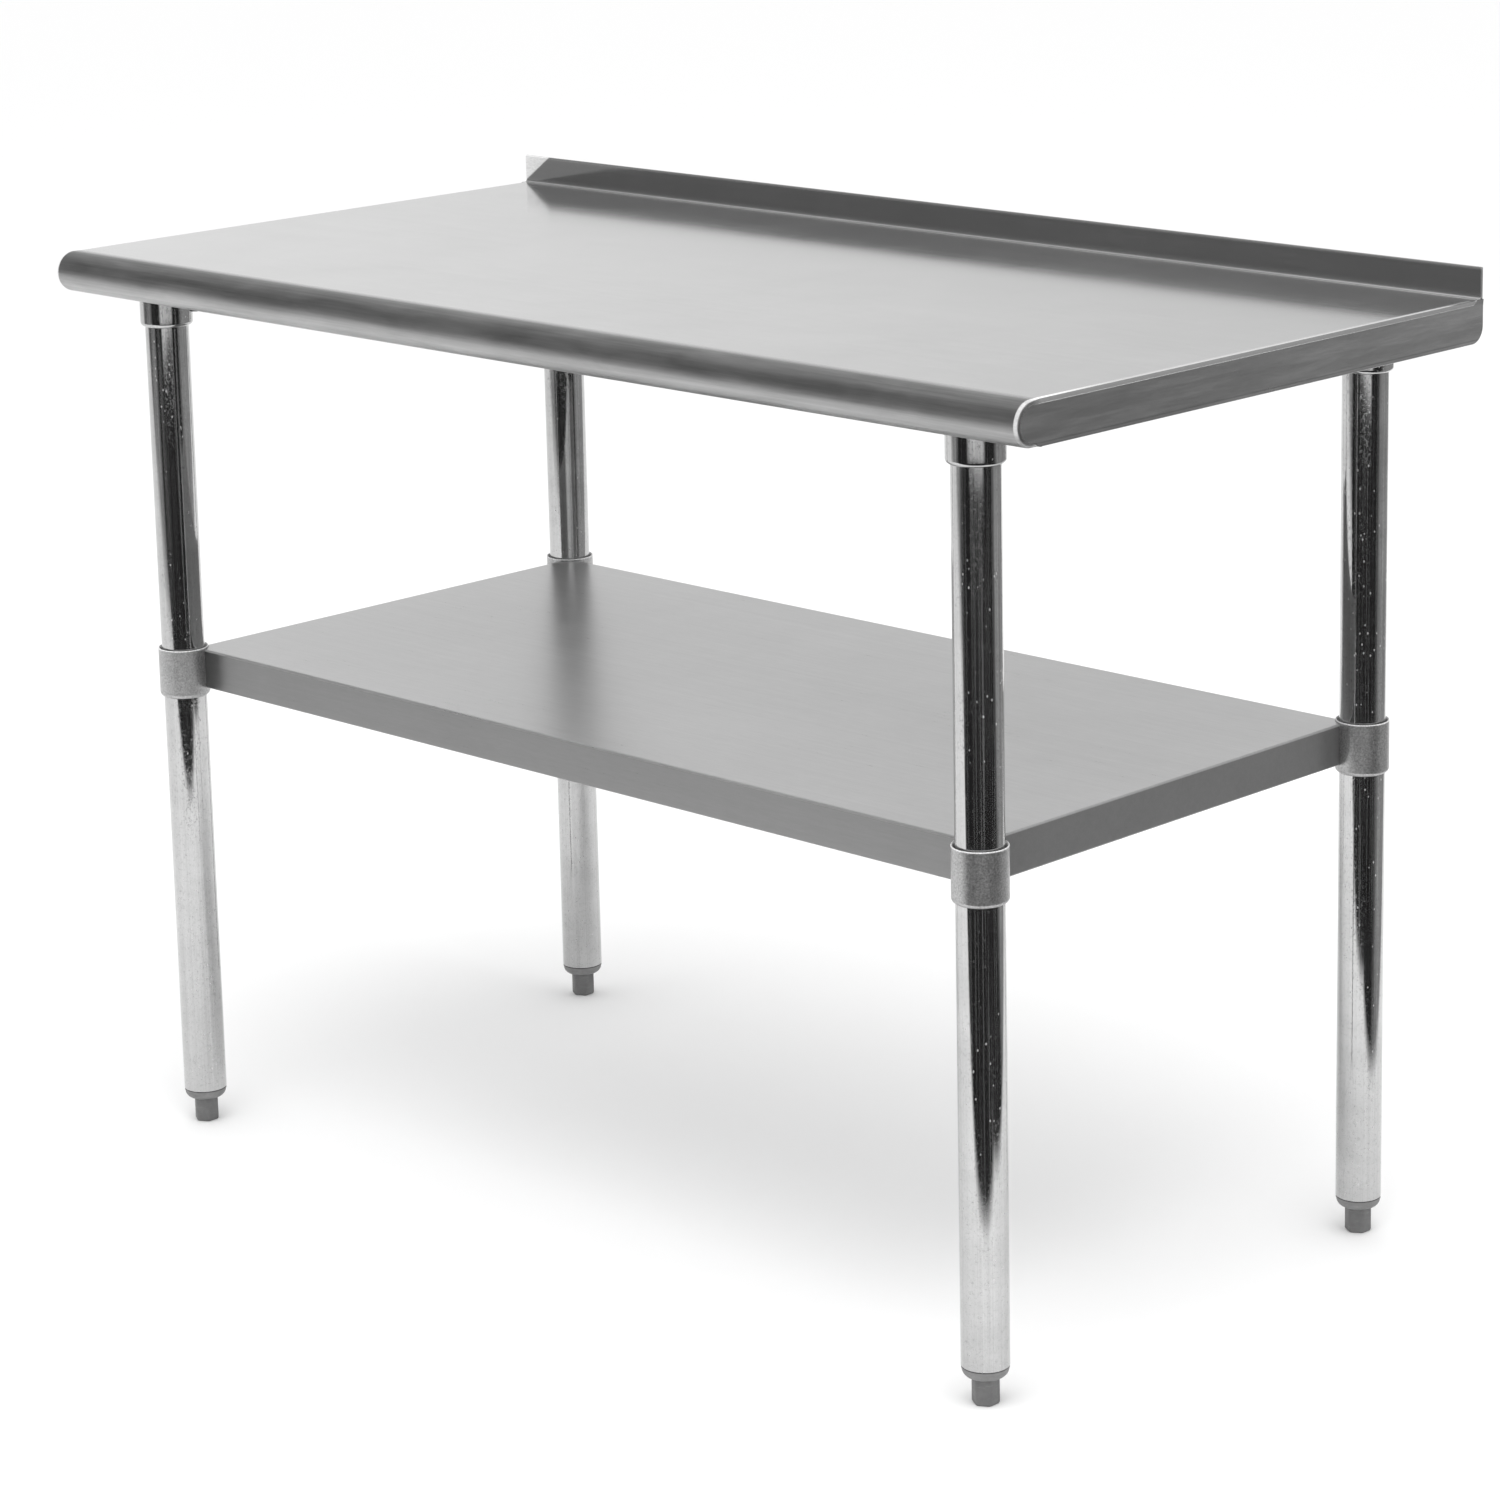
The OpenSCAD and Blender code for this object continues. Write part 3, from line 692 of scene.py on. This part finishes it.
# ---- Undershelf pan ----

SHELF_SHEET = 1.0 * MM
PAN_R = 2.0 * MM
PAN_LIP = 10 * MM
NOTCH_R = (COLLAR_HI.x - COLLAR_LO.x) / 2 + 0.1 * MM


def pan_profile():
    """(distance in from the flange's face, z) over the top bend, down the flange and in along the lip."""
    top, low = SHELF_HI.z, SHELF_LO.z
    quarter = spread(0, math.pi / 2, 6)
    line = [(PAN_R - PAN_R * math.sin(a), top - PAN_R * (1 - math.cos(a))) for a in quarter]
    line += [(0.0, z) for z in spread(top - PAN_R, low + PAN_R, 6)[1:-1]]
    line += [(PAN_R * (1 - math.cos(a)), low + PAN_R * (1 - math.sin(a))) for a in quarter]
    line.append((PAN_LIP, low))
    return line


def add_flange(bm, along, way, face, inward):
    """One folded side of the pan, cut round at the legs; returns the vertices of its upper rim."""
    leg_inset = LEG_X - SHELF_HI.x
    first, last = (-LEG_X, LEG_X) if along == "x" else (FRONT_Y, BACK_Y)
    stations = 24 if along == "x" else 12
    rows, uvs = [], []
    for k in range(stations + 1):
        row, uv = [], []
        for inset, z in pan_profile():
            cut = math.sqrt(NOTCH_R ** 2 - (leg_inset + inset) ** 2)
            lo, hi = first + cut, last - cut
            t = lo + (hi - lo) * (k if way > 0 else stations - k) / stations
            across = face + inward * inset
            row.append((t, across, z) if along == "x" else (across, t, z))
            uv.append((t, inset - z))
        rows.append(row)
        uvs.append(uv)
    return [row[0] for row in add_grid(bm, rows, uvs)]


def pan_rim(bm, rims):
    """The four rims joined by the round notches into one ring of vertices."""
    ring = []
    centres = [(LEG_X, FRONT_Y), (LEG_X, BACK_Y), (-LEG_X, BACK_Y), (-LEG_X, FRONT_Y)]
    for n, (cx, cy) in enumerate(centres):
        ring += rims[n]
        a, b = rims[n][-1].co, rims[(n + 1) % 4][0].co
        start, end = math.atan2(a.y - cy, a.x - cx), math.atan2(b.y - cy, b.x - cx)
        if end > start:
            end -= 2 * math.pi
        for turn in spread(start, end, 16)[1:-1]:
            x, y = cx + NOTCH_R * math.cos(turn), cy + NOTCH_R * math.sin(turn)
            ring.append(bm.verts.new((x, y, SHELF_HI.z)))
    return ring


def build_undershelf():
    """Pan of four folded flanges between round notches at the legs, and one top face inside their rims."""
    bm = bmesh.new()
    # Each side: its axis, the way it runs, where its outer face lies, and which way is inward
    sides = [("x", 1, SHELF_LO.y, 1), ("y", 1, SHELF_HI.x, -1),
             ("x", -1, SHELF_HI.y, -1), ("y", -1, SHELF_LO.x, 1)]
    rims = [add_flange(bm, *side) for side in sides]
    add_cap(bm, pan_rim(bm, rims), lambda co: (co.x, co.y))
    bmesh.ops.recalc_face_normals(bm, faces=bm.faces)
    if max(bm.faces, key=lambda f: f.calc_area()).normal.z < 0:
        bmesh.ops.reverse_faces(bm, faces=bm.faces)
    piece("undershelf_pan", bm, "shelf", ["undershelf"], shelf_finish(), 50,
          [("SOLIDIFY", {"thickness": SHELF_SHEET, "offset": -1.0, "use_even_offset": True})])


# ---- Legs, sockets and collars ----

LEG_WALL = 1.2 * MM
TUBE_STEPS = 128


def build_leg(corner):
    lo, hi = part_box(corner + "_leg")
    soft = 0.3 * MM
    outer = LEG_R
    inner = LEG_R - LEG_WALL
    outline = [(inner, z) for z in spread(lo.z + soft, hi.z - soft, 8)]
    outline += [(inner + soft, hi.z), (outer - soft, hi.z)]
    outline += [(outer, z) for z in spread(hi.z - soft, lo.z + soft, 40)]
    outline += [(outer - soft, lo.z), (inner + soft, lo.z)]
    bm = bmesh.new()
    add_lathe(bm, outline, AXES[corner], TUBE_STEPS)
    piece(corner + "_leg_tube", bm, "table", [corner + "_leg"], LEG_STEEL)


def build_collar(corner):
    """Cast ring with a flared mouth at the top and a large rounded lower edge."""
    r = (COLLAR_HI.x - COLLAR_LO.x) / 2
    low, top = COLLAR_LO.z, COLLAR_HI.z
    bore, mouth, deep, edge, soft = LEG_R + 0.05 * MM, 2 * MM, 5 * MM, 4 * MM, 0.6 * MM
    outline = [(bore, z) for z in spread(low + soft, top - deep, 6)]
    outline += [(bore + mouth * t ** 1.6, top - deep + (deep - soft) * t) for t in spread(0, 1, 6)[1:]]
    outline += [(bore + mouth + 0.15 * MM, top - 0.2 * MM), (bore + mouth + 0.5 * MM, top)]
    outline += arc(r - soft, top - soft, soft, 90, 0, 5)
    outline += [(r, z) for z in spread(top - soft, low + edge, 8)[1:-1]]
    outline += arc(r - edge, low + edge, edge, 0, -78, 12)
    outline += [(bore + soft, low)]
    bm = bmesh.new()
    add_lathe(bm, outline, AXES[corner], TUBE_STEPS)
    piece(corner + "_collar_ring", bm, "shelf", [corner + "_collar"], COLLAR_STEEL)


def build_socket(corner):
    """Socket tube with a weld fillet under its square plate."""
    lo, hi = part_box(corner + "_socket")
    plate = 2.5 * MM
    plate_z = hi.z - plate
    r, bore, edge, weld = 24.8 * MM, LEG_R + 0.08 * MM, 4 * MM, 2.6 * MM
    outline = [(bore, z) for z in spread(lo.z + 0.4 * MM, plate_z, 6)]
    outline += arc(r + weld, plate_z - weld, weld, 90, 180, 8)
    outline += [(r, z) for z in spread(plate_z - weld, lo.z + edge, 8)[1:-1]]
    outline += arc(r - edge, lo.z + edge, edge, 0, -75, 12)
    outline += [(bore + 0.4 * MM, lo.z)]
    bm = bmesh.new()
    add_lathe(bm, outline, AXES[corner], TUBE_STEPS)
    cx, cy = AXES[corner]
    half, corner_r = (hi.x - lo.x) / 2, 5 * MM
    flat = half - corner_r
    rounded = []
    for sx, sy, start in ((1, 1, 0), (-1, 1, 90), (-1, -1, 180), (1, -1, 270)):
        rounded += arc(cx + sx * flat, cy + sy * flat, corner_r, start, start + 90, 8)
    soft = 0.4 * MM
    rows = []
    for inset, z in ((soft, plate_z), (0, plate_z + soft), (0, hi.z - soft), (soft, hi.z)):
        scale = (half - inset) / half
        rows.append([(cx + (x - cx) * scale, cy + (y - cy) * scale, z) for x, y in rounded])
    uvs = [[(p[0], p[1]) for p in row + row[:1]] for row in rows]
    made = add_grid(bm, rows, uvs, closed=True)
    add_cap(bm, made[0], lambda co: (co.x, co.y), flip=True)
    add_cap(bm, made[-1], lambda co: (co.x, co.y))
    bmesh.ops.recalc_face_normals(bm, faces=bm.faces)
    piece(corner + "_socket_weldment", bm, "table", [corner + "_socket"], SOCKET_STEEL)


# ---- Levelling feet ----

STUD_BORE = 5.05 * MM
THREAD_PITCH = 1.5 * MM
THREAD_DEPTH = 0.75 * MM
# How sharply the barrel's flats turn into its rounded corners
HEX_POWER = 60


def build_foot_insert(corner):
    """Plug inside the tube, a band that the tube stands on and a dome below it."""
    lo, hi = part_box(corner + "_foot_insert")
    tube_z = LEG_LO.z
    bore, plug, rim = STUD_BORE, LEG_R - 1.3 * MM, LEG_R - 0.35 * MM
    band, dome = 2.5 * MM, 8 * MM
    outline = [(bore, z) for z in spread(lo.z + 0.4 * MM, hi.z, 5)]
    outline += [(plug - 0.8 * MM, hi.z), (plug, hi.z - 1.2 * MM), (plug, tube_z)]
    outline += [(rim - 0.3 * MM, tube_z - 0.02 * MM), (rim, tube_z - 0.35 * MM)]
    outline += [(rim, tube_z - band + 0.35 * MM), (rim - 0.35 * MM, tube_z - band)]
    outline += arc(rim - dome, tube_z - band, dome - 0.35 * MM, 0, -80, 14)
    outline += [(rim - dome, lo.z), (bore + 0.4 * MM, lo.z)]
    bm = bmesh.new()
    add_lathe(bm, outline, AXES[corner], 112)
    piece(corner + "_foot_insert_plug", bm, "table", [corner + "_foot_insert"],
          FOOT_PLASTIC)


def hexagon(apothem, cap):
    """Function that bends a circle of radius cap into a hexagon with rounded corners."""
    def bent(turn, r):
        if r <= apothem * 0.75:
            return r
        offset = (turn + math.pi / 6) % (math.pi / 3) - math.pi / 6
        side = apothem / math.cos(offset)
        smaller = (side ** -HEX_POWER + cap ** -HEX_POWER) ** (-1 / HEX_POWER)
        return r - cap + smaller
    return bent


def build_foot_barrel(corner):
    """Hexagonal barrel with chamfered ends and a blind bore for the stud."""
    lo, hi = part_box(corner + "_foot_barrel")
    cap, apothem, bore, chamfer, soft = 11.9 * MM, 10.8 * MM, STUD_BORE, 1.6 * MM, 0.6 * MM
    floor_z = lo.z + 9 * MM
    outline = [(0.0, floor_z), (bore, floor_z), (bore, hi.z - 0.3 * MM), (bore + 0.3 * MM, hi.z)]
    outline += [(cap - soft, hi.z), (cap - soft * 0.3, hi.z - soft * 0.3), (cap, hi.z - soft)]
    outline += [(cap, z) for z in spread(hi.z - soft, lo.z + chamfer, 6)[1:]]
    outline += [(cap - chamfer * 0.35, lo.z + chamfer * 0.35), (cap - chamfer, lo.z), (0.0, lo.z)]
    bm = bmesh.new()
    add_lathe(bm, outline, AXES[corner], 144, hexagon(apothem, cap))
    piece(corner + "_foot_barrel_hex", bm, corner + "_foot", [corner + "_foot_barrel"],
          FOOT_PLASTIC, 22)


def build_foot_stud(corner):
    """Threaded stud: one right-hand helix of a rounded triangular section."""
    lo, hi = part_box(corner + "_foot_stud")
    crest = (hi.x - lo.x) / 2
    root = crest - THREAD_DEPTH
    pitch, steps = THREAD_PITCH, 24
    # Lift within one pitch, and radius there
    shape = ((0.0, root), (0.18, root), (0.44, crest), (0.56, crest), (0.82, root))
    turns = int((hi.z - lo.z) / pitch)
    cx, cy = AXES[corner]
    rows, uvs = [], []
    for k in range(turns * steps + 1):
        row = []
        turn = 2 * math.pi * k / steps
        base = lo.z + pitch * k / steps
        for lift, r in shape + ((1.0, root),):
            z = min(base + lift * pitch, hi.z)
            row.append((cx + r * math.cos(turn), cy + r * math.sin(turn), z))
        rows.append(row)
        uvs.append([(turn * crest, p[2]) for p in row])
    bm = bmesh.new()
    add_grid(bm, rows, uvs)
    core = [(0.0, lo.z), (root, lo.z), (root, hi.z - 0.5 * MM), (root - 0.5 * MM, hi.z), (0.0, hi.z)]
    add_lathe(bm, core, (cx, cy), 48)
    piece(corner + "_foot_stud_thread", bm, corner + "_foot_screw", [corner + "_foot_stud"],
          ZINC, 25)


PANEL_STEEL = panel_finish()
build_worktop()
build_end_panel(-1, "left_end_panel")
build_end_panel(1, "right_end_panel")
build_undershelf()
for corner in CORNERS:
    build_leg(corner)
    build_collar(corner)
    build_socket(corner)
    build_foot_insert(corner)
    build_foot_barrel(corner)
    build_foot_stud(corner)

# ---- Finishes of the CAD nodes that stay ----

KEPT = {
    "left_cross_channel": CHANNEL_STEEL,
    "right_cross_channel": CHANNEL_STEEL,
    "centre_channel": CHANNEL_STEEL,
    "shelf_channel": CHANNEL_STEEL,
    "channel_studs": ZINC,
    "channel_nuts": ZINC,
    "socket_screws": ZINC,
    "leg_set_screws": SCREW_STEEL,
    "collar_set_screws": SCREW_STEEL,
}
for name, material in KEPT.items():
    NODES[name].data.materials.clear()
    NODES[name].data.materials.append(material)

# ---- Studio: pale floor, soft sky, one soft lamp, and cards that only reflections see ----


def staged(name, mesh, material):
    """An object that is part of the studio and not of the table."""
    mesh.materials.append(material)
    obj = bpy.data.objects.new(name, mesh)
    bpy.context.scene.collection.objects.link(obj)
    return obj


def flat_card(name, half, z, material):
    """A square card, level at a height z."""
    mesh = bpy.data.meshes.new(name)
    corners = [(x * half, y * half, z) for x, y in ((-1, -1), (1, -1), (1, 1), (-1, 1))]
    mesh.from_pydata(corners, [], [[0, 1, 2, 3]])
    return staged(name, mesh, material)


def round_room(name, radius, material):
    """A sphere round the whole studio."""
    bm = bmesh.new()
    bmesh.ops.create_uvsphere(bm, u_segments=96, v_segments=48, radius=radius)
    mesh = bpy.data.meshes.new(name)
    bm.to_mesh(mesh)
    bm.free()
    for polygon in mesh.polygons:
        polygon.use_smooth = True
    return staged(name, mesh, material)


def only_reflected(obj):
    for ray in ("camera", "diffuse", "transmission", "volume_scatter", "shadow"):
        setattr(obj, "visible_" + ray, False)


FLOOR_HALF = 60.0
CARD_Z = 2 * MM
ROOM_R = 30.0
# Edges of the pale paper on the floor: direction in degrees, and where its fade starts and ends
PAPER_EDGES = ((-90, 2.05, 2.75), (-40, 0.934, 1.05), (13.4, 0.975, 1.09))
CAMERA_TURN, DOORWAY_X = -46, -4.0
# Brightness of the floor beyond the paper, to the sides and on the camera's side
SIDE_LEVEL, CORE_LEVEL = 0.30, 0.022
# Directions of the middle and of the left end of the pale wall, and its brightness at both ends
WALL_TURN, WALL_LEFT_TURN = 137, 225
WALL_RIGHT, WALL_LEFT = 0.62, 0.90
STRIP_TURN, STRIP_LEVEL = -35, 0.95


def floor_paint():
    s = Shader("floor_paint", Base_Color=(*grey(0.88), 1), Roughness=0.9, Specular_IOR_Level=0.1)
    return s.material


def glow_shader(name):
    """A surface that only gives off light; finish it with level()."""
    return Shader(name, Base_Color=(*grey(0), 1), Roughness=1.0, Specular_IOR_Level=0.0,
                  Emission_Strength=1.0)


def level(s, value):
    s.link(value, s.bsdf.inputs["Emission Color"])
    return s.material


def toward(s, x, y, degrees):
    """How far a point lies in a direction, which is in degrees from +X towards +Y."""
    turn = math.radians(degrees)
    return s.plus(s.times(x, math.cos(turn)), s.times(y, math.sin(turn)))


def floor_card_material():
    """What reflections see of the floor: pale paper near the table and a dim floor beyond its edges."""
    s = glow_shader("floor_card")
    x, y = s.axis_value("X"), s.axis_value("Y")
    fades = [s.fit(toward(s, x, y, turn), start, end, 0, 1) for turn, start, end in PAPER_EDGES]
    beyond = s.largest(fades[0], s.largest(fades[1], fades[2]))
    s.link(beyond, s.bsdf.inputs["Alpha"])
    far = s.maths("SQRT", s.plus(s.times(x, x), s.times(y, y)))
    camera_side = s.maths("DIVIDE", toward(s, x, y, CAMERA_TURN), far)
    dim = s.fit(camera_side, 0.25, 0.50, SIDE_LEVEL, CORE_LEVEL)
    dim = s.times(dim, s.fit(s.noise((1.6, 1.6, 1.6), detail=2), 0.3, 0.7, 0.8, 1.2))
    doorway = s.fit(s.maths("ABSOLUTE", s.minus(x, DOORWAY_X)), 0.35, 1.10, 0.55, 1.30)
    dim = s.times(dim, doorway)
    lit = s.times(s.fit(far, 4.25, 4.45, 0, 1), s.fit(camera_side, 0.85, 0.92, 0, 1))
    return level(s, s.largest(dim, lit))


def room_card_material():
    """Dim room with a pale wall behind and to the left, a tall lit strip to the right and a lit ceiling."""
    s = glow_shader("room_card")
    x, y, z = (s.maths("DIVIDE", s.axis_value(axis), ROOM_R) for axis in "XYZ")
    dim = s.fit(y, -0.3, 0.4, 0.15, 0.28)
    turn = s.maths("ARCTAN2", y, x)
    top_edge = s.fit(turn, math.radians(124), math.radians(143), 0.68, 0.44)
    wall = s.times(s.fit(toward(s, x, y, WALL_TURN), 0.55, 0.66, 0, 1),
                   s.fit(s.minus(z, top_edge), -0.02, 0.05, 1, 0))
    along_wall = toward(s, x, y, WALL_LEFT_TURN)
    wall_level = s.largest(s.fit(along_wall, -0.2, 0.2, WALL_RIGHT, WALL_LEFT),
                           s.fit(z, 0.40, 0.52, 0, 1))
    off_strip = s.maths("ABSOLUTE", s.minus(turn, math.radians(STRIP_TURN)))
    strip = s.times(s.fit(off_strip, math.radians(14), math.radians(19), 1, 0), STRIP_LEVEL)
    ceiling = s.fit(z, 0.79, 0.85, 0, 1)
    lit = s.largest(s.times(wall, wall_level), s.largest(strip, ceiling))
    return level(s, s.largest(dim, lit))


flat_card("floor", FLOOR_HALF, 0, floor_paint())
only_reflected(flat_card("floor_card", FLOOR_HALF, CARD_Z, floor_card_material()))
only_reflected(round_room("room_card", ROOM_R, room_card_material()))

SKY_STRENGTH = 1.12
world = bpy.data.worlds.new("studio")
world.use_nodes = True
sky = world.node_tree.nodes["Background"]
sky.inputs["Color"].default_value = (1, 1, 1, 1)
sky.inputs["Strength"].default_value = SKY_STRENGTH
bpy.context.scene.world = world


def soft_lamp(name, place, aim, size, power):
    """A round lamp, its size in metres and its power in watts, that reflections don't see."""
    data = bpy.data.lights.new(name, "AREA")
    data.shape = "DISK"
    data.size = size
    data.energy = power
    lamp = bpy.data.objects.new(name, data)
    lamp.location = place
    lamp.rotation_euler = (Vector(aim) - Vector(place)).to_track_quat("-Z", "Y").to_euler()
    bpy.context.scene.collection.objects.link(lamp)
    lamp.visible_glossy = False


soft_lamp("key", place=(0.75, -0.75, 3.5), aim=(0, 0, 0.4), size=3.2, power=78)
bpy.context.scene.view_settings.view_transform = "Standard"

# ---- Camera ----

# Sensor and lens in millimetres, and the shift as a share of the frame
SENSOR, LENS = 36.0, 104.9
SHIFT_X, SHIFT_Y = -0.0533, -0.15
CAMERA_AT = (2.7812, -2.7689, 1.4964)
YAW, PITCH, ROLL = math.radians(43.91), math.radians(12.46), math.radians(-1.03)

look = Vector((-math.sin(YAW) * math.cos(PITCH), math.cos(YAW) * math.cos(PITCH), -math.sin(PITCH)))
right = Vector((math.cos(YAW), math.sin(YAW), 0))
up = right.cross(look)
rolled = Matrix.Rotation(-ROLL, 3, look)
right, up = rolled @ right, rolled @ up
camera_data = bpy.data.cameras.new("camera")
camera_data.sensor_width = SENSOR
camera_data.lens = LENS
camera_data.shift_x = SHIFT_X
camera_data.shift_y = SHIFT_Y
camera_data.clip_end = 200
camera = bpy.data.objects.new("camera", camera_data)
camera.matrix_world = Matrix.Translation(CAMERA_AT) @ Matrix((right, up, -look)).transposed().to_4x4()
bpy.context.scene.collection.objects.link(camera)
bpy.context.scene.camera = camera
